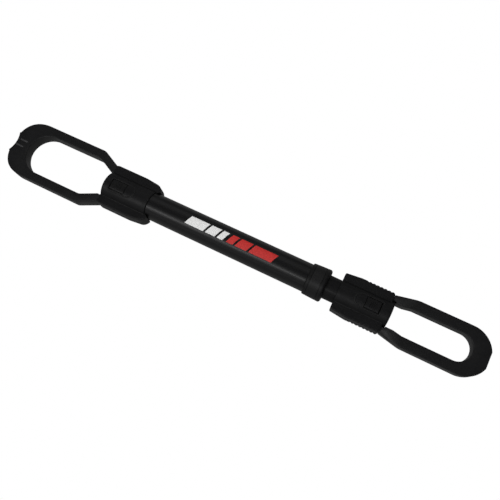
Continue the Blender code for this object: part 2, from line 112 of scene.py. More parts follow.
# buttons and screws
BUTTON_HALF = 0.0062
BUTTON_FOOT_Z = 0.0053     # underside of the buttons, above the bar's axis
CROWN = 0.0004             # by which the buttons stand above the barrel
BUTTON_EDGE = 0.0009
RIDGES, RIDGE_HEIGHT, RIDGE_INSET = 4, 0.00045, 0.0042
SCREW_R, SCREW_HEAD_R = 0.0012, 0.0021
SCREW_NEAR_X, SCREW_NEAR_Y = 0.0038, 0.0098            # the two case screws beside the mouth
SCREW_FAR_INSET, SCREW_EDGE = 0.0050, 0.0031           # the other two, from the barrel's end and the wings' edge
SCREW_HEAD_Z, SCREW_TIP_Z = -0.0072, 0.0063
TUBE_SCREW_X = 0.044
FAR = 0.03                 # cutters end well outside the head

LEFT = dict(
    side="left", face_x=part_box("left_head_cover")[0].x, turn=0.0, tube_r=OUTER_R, body="outer_bar",
    length=0.0588, barrel_r=0.0175, half_w=0.0252, taper_w=0.0233, taper_from=0.0408, corner_r=0.0080,
    wing_start=0.0, wing_end=0.0634, ear_in=0.0166, mouth=(0.0030, 0.0009), rim=0.0016, ribs=0,
    button=(0.0095, 0.0283),
    leg_inset=0.0015, loop_half_w=0.0353, neck_out=0.0243, neck_in=0.0150, neck_len=0.0045,
    bend=0.0234, bend_r=0.010, inner_bend=0.0246, inner_r=0.0247, inner_c=0.0874,
    tip=0.1343, end_c=0.0997, end_power=2.5, notch_half=0.0122, notch_depth=0.0028,
)
RIGHT = dict(
    side="right", face_x=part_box("right_head_cover")[1].x, turn=pi, tube_r=INNER_R, body="inner_bar",
    length=0.0587, barrel_r=0.0152, half_w=0.0229, taper_w=0.0209, taper_from=0.0407, corner_r=0.0012,
    wing_start=0.0034, wing_end=0.0587, ear_in=0.0, mouth=(0.0022, 0.0017), rim=0.0014, ribs=7,
    button=(0.0122, 0.0282),
    leg_inset=0.0022, loop_half_w=0.0267, neck_out=0.0214, neck_in=0.0133, neck_len=0.0085,
    bend=0.0205, bend_r=0.030, inner_bend=0.0185, inner_r=0.0152, inner_c=0.0719,
    tip=0.1044, end_c=0.0788, end_power=2.0, notch_half=0.0088, notch_depth=0.0,
)


def head_matrix(spec):
    return Matrix.Translation((spec["face_x"], 0.0, AXIS_Z)) @ Matrix.Rotation(spec["turn"], 4, "Z")


# ---------------------------------------------------------------- materials
def node(tree, kind, **inputs):
    """A new shader node with some of its inputs set."""
    made = tree.nodes.new(kind)
    for name, value in inputs.items():
        made.inputs[name.replace("_", " ")].default_value = value
    return made


def noise(tree, coords, scale, detail=4.0, roughness=0.55, stretch=(1.0, 1.0, 1.0)):
    """Noise at a scale in cycles per metre, stretched along the row's axes."""
    mapping = tree.nodes.new("ShaderNodeMapping")
    mapping.inputs["Scale"].default_value = stretch
    tree.links.new(coords, mapping.inputs["Vector"])
    made = node(tree, "ShaderNodeTexNoise", Scale=scale, Detail=detail, Roughness=roughness)
    tree.links.new(mapping.outputs["Vector"], made.inputs["Vector"])
    return made.outputs["Fac"]


def ramp(tree, factor, low, high, dark, light):
    """Maps a factor between two limits onto two greys or colours."""
    made = tree.nodes.new("ShaderNodeValToRGB")
    made.color_ramp.elements[0].position = low
    made.color_ramp.elements[1].position = high
    made.color_ramp.elements[0].color = (*dark, 1.0)
    made.color_ramp.elements[1].color = (*light, 1.0)
    tree.links.new(factor, made.inputs["Fac"])
    return made.outputs["Color"]


def bump(tree, height, distance, strength, below=None):
    made = node(tree, "ShaderNodeBump", Strength=strength, Distance=distance)
    tree.links.new(height, made.inputs["Height"])
    if below:
        tree.links.new(below, made.inputs["Normal"])
    return made.outputs["Normal"]


def start(name):
    mat = bpy.data.materials.new(name)
    mat.use_nodes = True
    tree = mat.node_tree
    shader = tree.nodes["Principled BSDF"]
    coords = tree.nodes.new("ShaderNodeTexCoord").outputs["Object"]
    return mat, tree, shader, coords


def moulded(name, dark, light, rough, grain=3200.0, grain_height=0.00004, specular=0.35, edge_wear_and_sheen=0.012):
    """Moulded plastic: fine spark-eroded grain, faint flow mottling, and convex edges lightened in colour: partly
    wear from handling, partly a painted edge highlight.
    """
    mat, tree, shader, coords = start(name)
    shader.inputs["Specular IOR Level"].default_value = specular
    mottle = noise(tree, coords, 130.0, 5.0, 0.6, (0.5, 1.0, 1.0))
    base = ramp(tree, mottle, 0.30, 0.72, dark, light)
    # convex edges lightened in colour: a painted edge highlight, partly wear from handling
    edges = tree.nodes.new("ShaderNodeNewGeometry").outputs["Pointiness"]
    edge_sheen_mask = ramp(tree, edges, 0.52, 0.60, (0.0, 0.0, 0.0), (1.0, 1.0, 1.0))
    mix = tree.nodes.new("ShaderNodeMixRGB")
    mix.inputs["Color2"].default_value = (edge_wear_and_sheen, edge_wear_and_sheen, edge_wear_and_sheen, 1.0)
    tree.links.new(edge_sheen_mask, mix.inputs["Fac"])
    tree.links.new(base, mix.inputs["Color1"])
    tree.links.new(mix.outputs["Color"], shader.inputs["Base Color"])
    patches = noise(tree, coords, 60.0, 3.0)
    soft = ramp(tree, patches, 0.35, 0.70, (rough - 0.05,) * 3, (rough + 0.07,) * 3)
    tree.links.new(soft, shader.inputs["Roughness"])
    texture = noise(tree, coords, grain, 2.0, 0.5)
    swell = noise(tree, coords, 240.0, 2.0, 0.5)
    under = bump(tree, swell, 0.00012, 0.20)
    tree.links.new(bump(tree, texture, grain_height, 0.55, under), shader.inputs["Normal"])
    return mat


def painted(name, dark, light, rough, specular=0.45):
    """Satin paint on a drawn tube: faint orange peel, fine drawing lines along the tube, and dust specks."""
    mat, tree, shader, coords = start(name)
    shader.inputs["Specular IOR Level"].default_value = specular
    shader.inputs["Coat Weight"].default_value = 0.08
    shader.inputs["Coat Roughness"].default_value = 0.22
    cloud = noise(tree, coords, 70.0, 4.0, 0.6, (0.25, 1.0, 1.0))
    tree.links.new(ramp(tree, cloud, 0.32, 0.70, dark, light), shader.inputs["Base Color"])
    lines = noise(tree, coords, 900.0, 2.0, 0.5, (0.02, 1.0, 1.0))
    soft = ramp(tree, lines, 0.35, 0.68, (rough - 0.04,) * 3, (rough + 0.06,) * 3)
    tree.links.new(soft, shader.inputs["Roughness"])
    peel = noise(tree, coords, 520.0, 2.0, 0.5)
    under = bump(tree, lines, 0.00003, 0.20)
    tree.links.new(bump(tree, peel, 0.00005, 0.22, under), shader.inputs["Normal"])
    return mat


def steel(name, dark, light, rough):
    """Zinc-plated steel with cloudy plating and fine scratches."""
    mat, tree, shader, coords = start(name)
    shader.inputs["Metallic"].default_value = 1.0
    cloud = noise(tree, coords, 420.0, 4.0, 0.65)
    tree.links.new(ramp(tree, cloud, 0.30, 0.70, dark, light), shader.inputs["Base Color"])
    scratch = noise(tree, coords, 2600.0, 3.0, 0.6, (0.12, 1.0, 1.0))
    soft = ramp(tree, scratch, 0.30, 0.70, (rough - 0.08,) * 3, (rough + 0.14,) * 3)
    tree.links.new(soft, shader.inputs["Roughness"])
    tree.links.new(bump(tree, scratch, 0.00002, 0.25), shader.inputs["Normal"])
    return mat


def printed(name, dark, light):
    """Screen-printed ink: slightly uneven cover with a fine tooth."""
    mat, tree, shader, coords = start(name)
    shader.inputs["Specular IOR Level"].default_value = 0.30
    cover = noise(tree, coords, 900.0, 4.0, 0.7)
    tree.links.new(ramp(tree, cover, 0.34, 0.60, dark, light), shader.inputs["Base Color"])
    tooth = noise(tree, coords, 3000.0, 2.0, 0.5)
    soft = ramp(tree, tooth, 0.30, 0.70, (0.42,) * 3, (0.58,) * 3)
    tree.links.new(soft, shader.inputs["Roughness"])
    tree.links.new(bump(tree, tooth, 0.00002, 0.30), shader.inputs["Normal"])
    return mat


HEAD_PLASTIC = moulded("head_plastic", (0.0021, 0.0021, 0.0023), (0.0035, 0.0035, 0.0037), 0.48)
LOOP_PLASTIC = moulded("loop_plastic", (0.0025, 0.0025, 0.0027), (0.0041, 0.0041, 0.0043), 0.47, specular=0.5)
# the ribs are the loop's own black plastic; this copy's colour is about ten times lighter, a painted highlight on
# them
RIB_HIGHLIGHT_PLASTIC = moulded("rib_plastic", (0.030, 0.030, 0.031), (0.045, 0.045, 0.046), 0.28, specular=0.5)
BUTTON_PLASTIC = moulded("button_plastic", (0.0023, 0.0023, 0.0024), (0.0038, 0.0038, 0.0039), 0.44,
                         grain=4200.0, grain_height=0.00003)
COLLAR_PLASTIC = moulded("collar_plastic", (0.0017, 0.0017, 0.0018), (0.0027, 0.0027, 0.0028), 0.50)
TUBE_PAINT = painted("tube_paint", (0.0015, 0.0015, 0.0016), (0.0025, 0.0025, 0.0027), 0.36)
SLIDE_PAINT = painted("slide_paint", (0.0015, 0.0015, 0.0016), (0.0024, 0.0024, 0.0025), 0.56, 0.30)
PAD_RUBBER = moulded("pad_rubber", (0.004, 0.004, 0.004), (0.007, 0.007, 0.007), 0.80,
                     grain=1800.0, grain_height=0.00010, specular=0.20, edge_wear_and_sheen=0.011)
BUSH_ACETAL = moulded("bush_acetal", (0.66, 0.65, 0.60), (0.76, 0.75, 0.71), 0.42,
                      grain=2600.0, grain_height=0.00002, specular=0.45, edge_wear_and_sheen=0.80)
ZINC_STEEL = steel("zinc_steel", (0.44, 0.45, 0.47), (0.62, 0.63, 0.65), 0.32)
WHITE_INK = printed("white_ink", (0.50, 0.50, 0.49), (0.78, 0.78, 0.77))
RED_INK = printed("red_ink", (0.30, 0.012, 0.012), (0.50, 0.022, 0.018))


# ---------------------------------------------------------------- mesh helpers
def finished(name, bm, matrix=None, sharp=40):
    """A mesh from bm, in the row frame, with its faces turned outwards and its shading smooth."""
    bmesh.ops.recalc_face_normals(bm, faces=bm.faces)
    mesh = bpy.data.meshes.new(name)
    bm.to_mesh(mesh)
    bm.free()
    if matrix:
        mesh.transform(matrix)
    mesh.shade_smooth()
    mesh.set_sharp_from_angle(angle=radians(sharp))
    return mesh


def piece(name, mesh, body, slot, mat, *stands_for):
    obj = bpy.data.objects.new(name, mesh)
    bpy.context.scene.collection.objects.link(obj)
    mesh.materials.clear()
    mesh.materials.append(mat)
    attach(obj, body)
    if stands_for:
        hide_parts(*stands_for)
    return obj


def evaluated(holder):
    """The mesh of a holder object, its modifiers applied; the holder is removed."""
    bpy.context.view_layer.update()
    mesh = bpy.data.meshes.new_from_object(holder.evaluated_get(bpy.context.evaluated_depsgraph_get()))
    bpy.data.objects.remove(holder)
    return mesh


def carved(mesh, tools, operation="DIFFERENCE", sharp=40):
    """The mesh after one Boolean with each tool mesh."""
    scene = bpy.context.scene
    holder = bpy.data.objects.new(mesh.name, mesh)
    scene.collection.objects.link(holder)
    cutters = []
    for tool in tools:
        cutter = bpy.data.objects.new(tool.name, tool)
        scene.collection.objects.link(cutter)
        cutters.append(cutter)
        step = holder.modifiers.new(tool.name, "BOOLEAN")
        step.operation = operation
        step.object = cutter
    result = evaluated(holder)
    for cutter in cutters:
        bpy.data.objects.remove(cutter)
    result.shade_smooth()
    result.set_sharp_from_angle(angle=radians(sharp))
    return result


def box_tool(name, low, high):
    low, high = Vector(low), Vector(high)
    bm = bmesh.new()
    bmesh.ops.create_cube(bm, size=1.0)
    bmesh.ops.scale(bm, vec=high - low, verts=bm.verts)
    bmesh.ops.translate(bm, vec=(low + high) / 2, verts=bm.verts)
    mesh = bpy.data.meshes.new(name)
    bm.to_mesh(mesh)
    bm.free()
    return mesh


def rod_tool(name, radius, low, high, x=0.0, y=0.0, along="X", segments=96):
    """A round cutter along X between two x places, or upright at (x, y) between two heights."""
    bm = bmesh.new()
    bmesh.ops.create_cone(bm, cap_ends=True, segments=segments, radius1=radius, radius2=radius, depth=high - low)
    middle = (low + high) / 2
    if along == "X":
        bmesh.ops.rotate(bm, matrix=Matrix.Rotation(pi / 2, 3, "Y"), verts=bm.verts)
        bmesh.ops.translate(bm, vec=(middle, 0.0, 0.0), verts=bm.verts)
    else:
        bmesh.ops.translate(bm, vec=(x, y, middle), verts=bm.verts)
    mesh = bpy.data.meshes.new(name)
    bm.to_mesh(mesh)
    bm.free()
    return mesh


def turned(name, profile, segments=128):
    """A closed (x, radius) profile spun about the bar's axis."""
    bm = bmesh.new()
    verts = [bm.verts.new((x, radius, 0.0)) for x, radius in profile]
    edges = [bm.edges.new(pair) for pair in zip(verts, verts[1:] + verts[:1])]
    bmesh.ops.spin(bm, geom=verts + edges, cent=(0, 0, 0), axis=(1, 0, 0), angle=2 * pi, steps=segments)
    bmesh.ops.remove_doubles(bm, verts=bm.verts, dist=1e-6)
    return finished(name, bm, Matrix.Translation((0.0, 0.0, AXIS_Z)))


def arc(centre, radius, first, last, steps):
    """Points along a circle, both ends included; angles in radians."""
    return [(centre[0] + radius * cos(first + (last - first) * i / steps),
             centre[1] + radius * sin(first + (last - first) * i / steps)) for i in range(steps + 1)]


def filleted(before, corner, after, radius, steps=6):
    """The corner between two straight runs, rounded."""
    a, c, b = Vector(before), Vector(corner), Vector(after)
    u, v = (a - c).normalized(), (b - c).normalized()
    half = acos(max(-1.0, min(1.0, u.dot(v)))) / 2
    centre = c + (u + v).normalized() * (radius / sin(half))
    first = c + u * (radius * cos(half) / sin(half)) - centre
    last = c + v * (radius * cos(half) / sin(half)) - centre
    begin = atan2(first.y, first.x)
    sweep = (atan2(last.y, last.x) - begin + pi) % (2 * pi) - pi
    return arc(centre, radius, begin, begin + sweep, steps)


# ---------------------------------------------------------------- tubes and collar
def tube(name, node_name, body, outer, wall, paint):
    """A thin-walled tube the length of its CAD node, with its end edges eased."""
    x0, x1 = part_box(node_name)[0].x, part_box(node_name)[1].x
    bore = outer - wall
    eased = outer - TUBE_EDGE
    profile = [(x0, bore), (x0, eased), (x0 + TUBE_EDGE, outer), (x1 - TUBE_EDGE, outer), (x1, eased), (x1, bore)]
    piece(name, turned(name, profile), body, "black_paint", paint, node_name)


def collar():
    """The moulded collar: a rounded edge at each end, two turned grooves, and a lip round the inner tube."""
    x0, x1 = COLLAR_LOW.x, COLLAR_HIGH.x
    lip, taper, groove_depth, eased = 0.0020, 0.0008, 0.0003, 0.0003
    lip_x, lip_bore, seat = x1 - lip, INNER_R + GAP, OUTER_R + GAP
    thin, soft, nose = COLLAR_R - taper, 0.0014, 0.0026

    def flare(x, depth=0.0):
        """The collar's side, which widens towards the open end."""
        return (x, thin + (COLLAR_R - thin) * (x - x0) / (x1 - nose - x0) - depth)

    profile = [(x0, seat), *arc((x0 + soft, thin - soft), soft, pi, pi / 2, 6)]
    for groove in (x0 + 0.0036, x1 - 0.0058):
        profile += [flare(groove), flare(groove + 0.0002, groove_depth), flare(groove + 0.0006, groove_depth),
                    flare(groove + 0.0008)]
    profile += arc((x1 - nose, COLLAR_R - nose), nose, pi / 2, 0.0, 10)
    profile += [(x1, lip_bore + eased), (x1 - eased, lip_bore), (lip_x, lip_bore), (lip_x, seat)]
    piece("end_collar_skin", turned("end_collar_skin", profile), "outer_bar", "black_plastic", COLLAR_PLASTIC,
          "end_collar")


# ---------------------------------------------------------------- printed stripes on the outer tube
STRIPE_ANGLE = radians(19.0)                           # to each side of the tube's top
STRIPE_LEAN, STRIPE_SPACE = 0.0046, 0.0026
INK, INK_ROOT = 0.00005, 0.0001                        # above and below the paint's surface
STRIPE_RUNS = (("white", WHITE_INK, -0.0490, (0.0230, 0.0120, 0.0070)),
               ("red", RED_INK, 0.0026, (0.0080, 0.0140, 0.0270)))


def stripe(name, x0, x1, mat):
    """A slanted printed block wrapped round the tube, a film 0.05 mm thick."""
    across, along = 14, 6
    bm = bmesh.new()
    layers = []
    for radius in (OUTER_R + INK, OUTER_R - INK_ROOT):
        rows = []
        for i in range(across + 1):
            part = i / across
            angle = STRIPE_ANGLE * (2 * part - 1)
            shift = STRIPE_LEAN * (part - 0.5)
            rows.append([bm.verts.new((x0 + (x1 - x0) * k / along + shift, radius * sin(angle), radius * cos(angle)))
                         for k in range(along + 1)])
        layers.append(rows)
    for rows in layers:
        for near, far in zip(rows, rows[1:]):
            for k in range(along):
                bm.faces.new((near[k], near[k + 1], far[k + 1], far[k]))
    top, under = layers
    rims = [([row[k] for row in top], [row[k] for row in under]) for k in (0, -1)]
    rims += [(top[k], under[k]) for k in (0, -1)]
    for upper, lower in rims:
        for k in range(len(upper) - 1):
            bm.faces.new((upper[k], upper[k + 1], lower[k + 1], lower[k]))
    mesh = finished(name, bm, Matrix.Translation((0.0, 0.0, AXIS_Z)), 60)
    piece(name, mesh, "outer_bar", "black_paint", mat)


def stripes():
    """A white and a red run of slanted blocks along the outer tube, three blocks each."""
    for colour, mat, x, widths in STRIPE_RUNS:
        for number, width in enumerate(widths, 1):
            stripe(f"{colour}_stripe_{number}", x, x + width, mat)
            x += width + STRIPE_SPACE


# ---------------------------------------------------------------- loops
def width_at(spec, x):
    """Half width of the head's wings, before its corners and ribs."""
    if x <= spec["taper_from"]:
        return spec["half_w"]
    part = (x - spec["taper_from"]) / (spec["length"] - spec["taper_from"])
    return spec["half_w"] + (spec["taper_w"] - spec["half_w"]) * part


def leg_outer(spec):
    """Distance from the bar's axis to the outer side of a loop's legs."""
    return width_at(spec, LEG_LEN + LEG_PLAY) - spec["leg_inset"]


def loop_outline(spec):
    """The loop from above in its head frame, with its legs and rack teeth."""
    leg_out = leg_outer(spec)
    leg_in = leg_out - LEG_W
    shoulder, inner_shoulder, half = spec["wing_start"] - GAP, -GAP, spec["loop_half_w"]
    bend, nose, end_c = -spec["bend"], -spec["tip"], -spec["end_c"]

    outer = [(LEG_LEN - LEG_PLAY, leg_out), (shoulder, leg_out), (shoulder, spec["neck_out"])]
    outer += filleted(outer[-1], (bend, half), (end_c, half), spec["bend_r"])
    power, stop, steps = spec["end_power"], spec["notch_half"], 36
    reach = end_c - nose
    if power == 2.0:
        end_c = nose + sqrt(half ** 2 - stop ** 2)
        reach = half
    for i in range(1, steps):
        a = pi / 2 * i / steps
        x = end_c - reach * sin(a) ** (2 / power)
        y = half * cos(a) ** (2 / power)
        if y > stop + 0.0006 and x > nose + 1e-4:
            outer.append((x, y))
    outer.append((nose, stop))
    if spec["notch_depth"]:
        depth = spec["notch_depth"]
        radius = (stop ** 2 + depth ** 2) / (2 * depth)
        sweep = asin(stop / radius)
        outer += [(nose + radius * cos(a) - (radius - depth), radius * sin(a))
                  for a in (sweep * k / 8 for k in range(7, 0, -1))]

    inner_half, inner_c = spec["inner_r"], -spec["inner_c"]
    inner = arc((inner_c, 0.0), inner_half, pi, pi / 2, 24)[1:]
    neck = (-spec["neck_len"], spec["neck_in"])
    inner += filleted(inner[-1], (-spec["inner_bend"], inner_half), neck, NECK_R)
    inner += [neck, (inner_shoulder, spec["neck_in"]), (inner_shoulder, leg_in)]

    def rack(x, depth=0.0):
        """The rack's inner side, drawn in very slightly towards the leg's tip."""
        return (x, leg_in + LEG_DRAFT * (x / LEG_LEN) ** 2 + depth)

    for k in range(int((LEG_LEN - 0.008) / TOOTH_PITCH) - 1):
        root = TOOTH_START + k * TOOTH_PITCH
        inner += [rack(root), rack(root + TOOTH_RISE, TOOTH_DEPTH), rack(root + TOOTH_LENGTH)]
    inner.append(rack(LEG_LEN - LEG_PLAY))

    def mirrored(points):
        return [(x, -y) for x, y in points]

    eye = [(inner_c - inner_half, 0.0)]
    dip = [(nose + spec["notch_depth"], 0.0)] if spec["notch_depth"] else []
    return inner[::-1] + eye + mirrored(inner) + mirrored(outer) + dip + outer[::-1]


def plate(name, outline, low, high, edge=0.0, keep_sharp_from=0.0):
    """An outline filled and extruded, its rims rounded by edge as far as keep_sharp_from along x."""
    curve = bpy.data.curves.new(name, "CURVE")
    curve.dimensions = "2D"
    curve.fill_mode = "BOTH"
    curve.extrude = (high - low) / 2
    spline = curve.splines.new("POLY")
    spline.points.add(len(outline) - 1)
    for point, (x, y) in zip(spline.points, outline):
        point.co = (x, y, 0.0, 1.0)
    spline.use_cyclic_u = True
    holder = bpy.data.objects.new(name, curve)
    bpy.context.scene.collection.objects.link(holder)
    bm = bmesh.new()
    bm.from_mesh(evaluated(holder))
    bmesh.ops.remove_doubles(bm, verts=bm.verts, dist=1e-6)
    bmesh.ops.dissolve_limit(bm, angle_limit=radians(0.2), verts=bm.verts, edges=bm.edges)
    bmesh.ops.recalc_face_normals(bm, faces=bm.faces)
    if edge:
        rims = [e for e in bm.edges if len(e.link_faces) == 2 and abs(e.verts[0].co.z - e.verts[1].co.z) < 1e-7
                and abs(e.link_faces[0].normal.z) + abs(e.link_faces[1].normal.z) > 0.9
                and max(v.co.x for v in e.verts) < keep_sharp_from]
        bmesh.ops.bevel(bm, geom=rims, offset=edge, segments=4, profile=0.5, affect="EDGES")
    bmesh.ops.translate(bm, vec=(0, 0, (low + high) / 2), verts=bm.verts)
    bmesh.ops.triangulate(bm, faces=[f for f in bm.faces if len(f.verts) > 4])
    return finished(name, bm)


def nose_ribs(spec):
    """Two short polished ribs on the nose, along the bar, above and below, with domed ends; their plastic is painted
    lighter as a highlight.
    """
    tip = -spec["tip"] + spec["notch_depth"]
    ends = [(sin(pi / 2 * k / 6), cos(pi / 2 * k / 6)) for k in range(7)]
    for number, (y, start_x) in enumerate(NOSE_RIBS, 1):
        for level, sign in (("top", 1), ("under", -1)):
            x0, x1 = tip + start_x, tip + start_x + NOSE_RIB_LEN
            profile = [(x0 + NOSE_RIB_R * (1 - a), NOSE_RIB_R * b) for a, b in reversed(ends)]
            profile += [(x1 - NOSE_RIB_R * (1 - a), NOSE_RIB_R * b) for a, b in ends]
            bm = bmesh.new()
            verts = [bm.verts.new((x, radius, 0.0)) for x, radius in profile]
            edges = [bm.edges.new(pair) for pair in zip(verts, verts[1:])]
            bmesh.ops.spin(bm, geom=verts + edges, cent=(0, 0, 0), axis=(1, 0, 0), angle=2 * pi, steps=24)
            bmesh.ops.remove_doubles(bm, verts=bm.verts, dist=1e-7)
            name = f"{spec['side']}_nose_rib_{level}_{number}"
            mesh = finished(name, bm, head_matrix(spec) @ Matrix.Translation((0.0, y, sign * NOSE_RIB_Z)))
            piece(name, mesh, f"{spec['side']}_loop", "black_plastic", RIB_HIGHLIGHT_PLASTIC)


def loop(spec):
    """A loop with its two legs; the rack teeth fill only the upper half of the legs."""
    side = spec["side"]
    name = f"{side}_loop_skin"
    mesh = plate(name, loop_outline(spec), -LOOP_T / 2, LOOP_T / 2, LOOP_EDGE, -0.0002)
    leg_in = leg_outer(spec) - LEG_W
    reliefs = []
    for sign in (1, -1):
        low_y, high_y = sorted((sign * (leg_in - 0.001), sign * (leg_in + TOOTH_DEPTH + 0.0004)))
        reliefs.append(box_tool("relief", (0.0045, low_y, -LOOP_T), (LEG_LEN + 0.005, high_y, -0.0005)))
    mesh = carved(mesh, reliefs)
    mesh.transform(head_matrix(spec))
    piece(name, mesh, f"{side}_loop", "black_plastic", LOOP_PLASTIC, f"{side}_loop")


# ---------------------------------------------------------------- heads
def rectangle_reach(c, s, half_w, half_h, corner):
    """Distance from the centre to a rounded rectangle's edge along the direction (c, s)."""
    c, s = abs(c), abs(s)
    if c > 1e-9 and half_w / c * s <= half_h - corner:
        return half_w / c
    if s > 1e-9 and half_h / s * c <= half_w - corner:
        return half_h / s
    y, z = half_w - corner, half_h - corner
    along = y * c + z * s
    return along + sqrt(max(0.0, along ** 2 - (y * y + z * z - corner ** 2)))


def blended(a, b, width):
    """The larger of two distances, eased into a fillet where they are close."""
    ease = max(0.0, 1 - abs(a - b) / width)
    return max(a, b) + width * ease ** 2 / 4


def rounded_inset(distance, rim):
    """How far a surface draws in near a rounded end edge, at a distance from that end."""
    d = max(0.0, min(distance, rim))
    return rim - sqrt(max(0.0, rim ** 2 - (rim - d) ** 2))


def wing_half(spec, x):
    """Half width of the wings with their rounded corners and the grip ribs."""
    half = width_at(spec, x)
    mouth_x, mouth_y = spec["mouth"]
    inside = max(0.0, x - spec["wing_start"])
    if inside < mouth_x:
        half -= mouth_y * (1 - inside / mouth_x) ** MOUTH_CURVE
    start_x = spec["wing_end"] - spec["corner_r"]
    if x > start_x:
        half -= spec["corner_r"] - sqrt(max(0.0, spec["corner_r"] ** 2 - (x - start_x) ** 2))
    along = (x - RIB_X0) / RIB_PITCH
    if spec["ribs"] and 0.0 < along < spec["ribs"]:
        half -= RIB_DEPTH * sin(pi * along) ** 4
    return half


def head_reach(spec, x, angle):
    """Distance from the bar's axis to the head's skin at a place along the head, at an angle above +y."""
    c, s = cos(angle), sin(angle)
    start, end = spec["wing_start"], spec["wing_end"]
    inset = rounded_inset(x - start, RIM) + rounded_inset(end - x, RIM)
    wing = 0.0
    if x > start - STEP / 2:
        wing = rectangle_reach(c, s, wing_half(spec, x) - inset, WING_T / 2 - inset, WING_CORNER)
    if x > spec["length"] + STEP / 2:
        return wing
    inset = rounded_inset(x, spec["rim"]) + rounded_inset(spec["length"] - x, RIM)
    reach = blended(spec["barrel_r"] - inset, wing, BARREL_BLEND)
    reach -= SEAM_DEPTH * max(0.0, 1 - abs(reach * s) / SEAM_HALF)
    if s < 0 and FOOT_X0 < x < spec["length"] - FOOT_X0:
        edge = min(x - FOOT_X0, spec["length"] - FOOT_X0 - x, FOOT_RAMP) / FOOT_RAMP
        low = spec["barrel_r"] - FOOT_RAMP + (AXIS_Z - spec["barrel_r"] + FOOT_RAMP) * edge
        foot = low / -s if abs(c) / -s * low <= FOOT_HALF else FOOT_HALF / abs(c)
        reach = max(reach, foot)
    return reach


def head_stations(spec):
    """Places along the head where its section is drawn: close together at the ends, corners, ribs and foot."""
    length, start, end = spec["length"], spec["wing_start"], spec["wing_end"]
    places = {0.0, length, end}
    if start:
        places |= {start - STEP, start}
    for k in range(1, 6):
        part = 1 - cos(pi / 2 * k / 5)
        places |= {start + RIM * part, spec["rim"] * part, length - RIM * part, end - RIM * part}
        places.add(start + spec["mouth"][0] * k / 5)
    for k in range(10):
        places.add(end - spec["corner_r"] * (1 - sin(pi / 2 * k / 10)))
    if spec["ear_in"]:
        places.add(length + STEP)
    for k in range(spec["ribs"] * 8 + 1):
        places.add(RIB_X0 + RIB_PITCH * k / 8)
    for place in (FOOT_X0 + 1e-5, FOOT_X0 + FOOT_RAMP):
        places |= {place, length - place}
    places |= {spec["taper_from"], *(length * k / 16 for k in range(1, 16))}
    kept = []
    for place in sorted(places):
        if not kept or place - kept[-1] > 4e-5:
            kept.append(place)
    kept[-1] = end
    return kept


def head_angles(spec, sign):
    """Angles from +y over the top to -y (or under), close together at the parting line and the wings."""
    quarter = [0.0, 0.5, 1.2, 3.0, 6.0, 9.0, 12.0, 14.0] + [15.0 + 0.9 * k for k in range(31)]
    quarter += [42.0 + 2.0 * k for k in range(1, 24)]
    if sign < 0:
        foot_edge = degrees(atan2(AXIS_Z, FOOT_HALF))
        quarter = sorted(set(quarter) | {foot_edge - 1.4, foot_edge - 0.7, foot_edge, foot_edge + 0.7})
    quarter = quarter + [90.0]
    turn = quarter + [180.0 - a for a in reversed(quarter[:-1])]
    return [radians(sign * a) for a in turn]


def head_half(name, spec, sign):
    """The cover (sign 1) or body (sign -1): a lofted half shell, closed at the parting plane."""
    floor = sign * GAP / 2
    angles = head_angles(spec, sign)
    bm = bmesh.new()
    rings = []
    for x in head_stations(spec):
        ring = []
        for angle in angles:
            reach = head_reach(spec, x, angle)
            z = reach * sin(angle)
            ring.append(bm.verts.new((x, reach * cos(angle), floor if abs(z) < GAP / 2 else z)))
        rings.append(ring)
    for near, far in zip(rings, rings[1:]):
        for k in range(len(angles) - 1):
            bm.faces.new((near[k], near[k + 1], far[k + 1], far[k]))
        bm.faces.new((near[-1], near[0], far[0], far[-1]))
    bm.faces.new(rings[0])
    bm.faces.new(rings[-1])
    return finished(name, bm)


def head_tools(spec):
    """What is hollowed out of both halves: tube bore, works, leg channels and the button's window."""
    length, x0, x1 = spec["length"], *spec["button"]
    tube_end = x1 + TUBE_SEAT
    leg_out = leg_outer(spec) + GAP
    leg_in = leg_out - LEG_W - 2 * GAP
    channel_h = LOOP_T / 2 + GAP
    works_x = (WORKS_X0, tube_end - GAP)
    half = BUTTON_HALF + 0.0004
    pad_r = spec["barrel_r"] - PAD_MARGIN + GAP
    tools = [
        rod_tool("bore", spec["tube_r"] + GAP, tube_end - 2 * GAP, length + 0.01),
        rod_tool("works", spec["barrel_r"] - WORKS_WALL, *works_x),
        box_tool("cross", (works_x[0], -leg_out, -channel_h), (works_x[1], leg_out, channel_h)),
        box_tool("window", (x0 - 0.0007, -half, 0.0005), (x1 + 0.0004, half, FAR)),
        carved(rod_tool("pad_pocket", pad_r, -0.01, PAD_DEPTH),
               [box_tool("pad_slot", (-FAR, -FAR, -PAD_HALF_H), (FAR, FAR, PAD_HALF_H))], "INTERSECT"),
    ]
    for sign in (1, -1):
        low_y, high_y = sorted((sign * leg_in, sign * leg_out))
        tools.append(box_tool("channel", (-0.01, low_y, -channel_h), (LEG_LEN + LEG_PLAY, high_y, channel_h)))
    if spec["ear_in"]:
        near, far = (length + 0.0004, spec["ear_in"] - 0.0036), (spec["wing_end"] + 0.001, spec["ear_in"] + 0.0009)
        notch = [near, far, (far[0], -far[1]), (near[0], -near[1])]
        tools.append(plate("notch", notch, -FAR, FAR))
    return tools


def screw_tools(spec):
    """Recesses and shank holes for the four case screws and for the tube screw."""
    far_x = spec["length"] - SCREW_FAR_INSET
    far_y = width_at(spec, far_x) - SCREW_EDGE
    screws = [(x, sign * y, SCREW_HEAD_Z, SCREW_TIP_Z)
              for x, y in ((SCREW_NEAR_X, SCREW_NEAR_Y), (far_x, far_y)) for sign in (1, -1)]
    screws.append((TUBE_SCREW_X, 0.0, -AXIS_Z + 0.0016, -spec["tube_r"] + 0.0048))
    tools = []
    for x, y, head_z, tip_z in screws:
        tools.append(rod_tool("recess", SCREW_HEAD_R + GAP, -FAR, head_z + GAP, x, y, "Z", 32))
        tools.append(rod_tool("shank", SCREW_R + GAP, head_z - 0.002, tip_z, x, y, "Z", 16))
    return tools


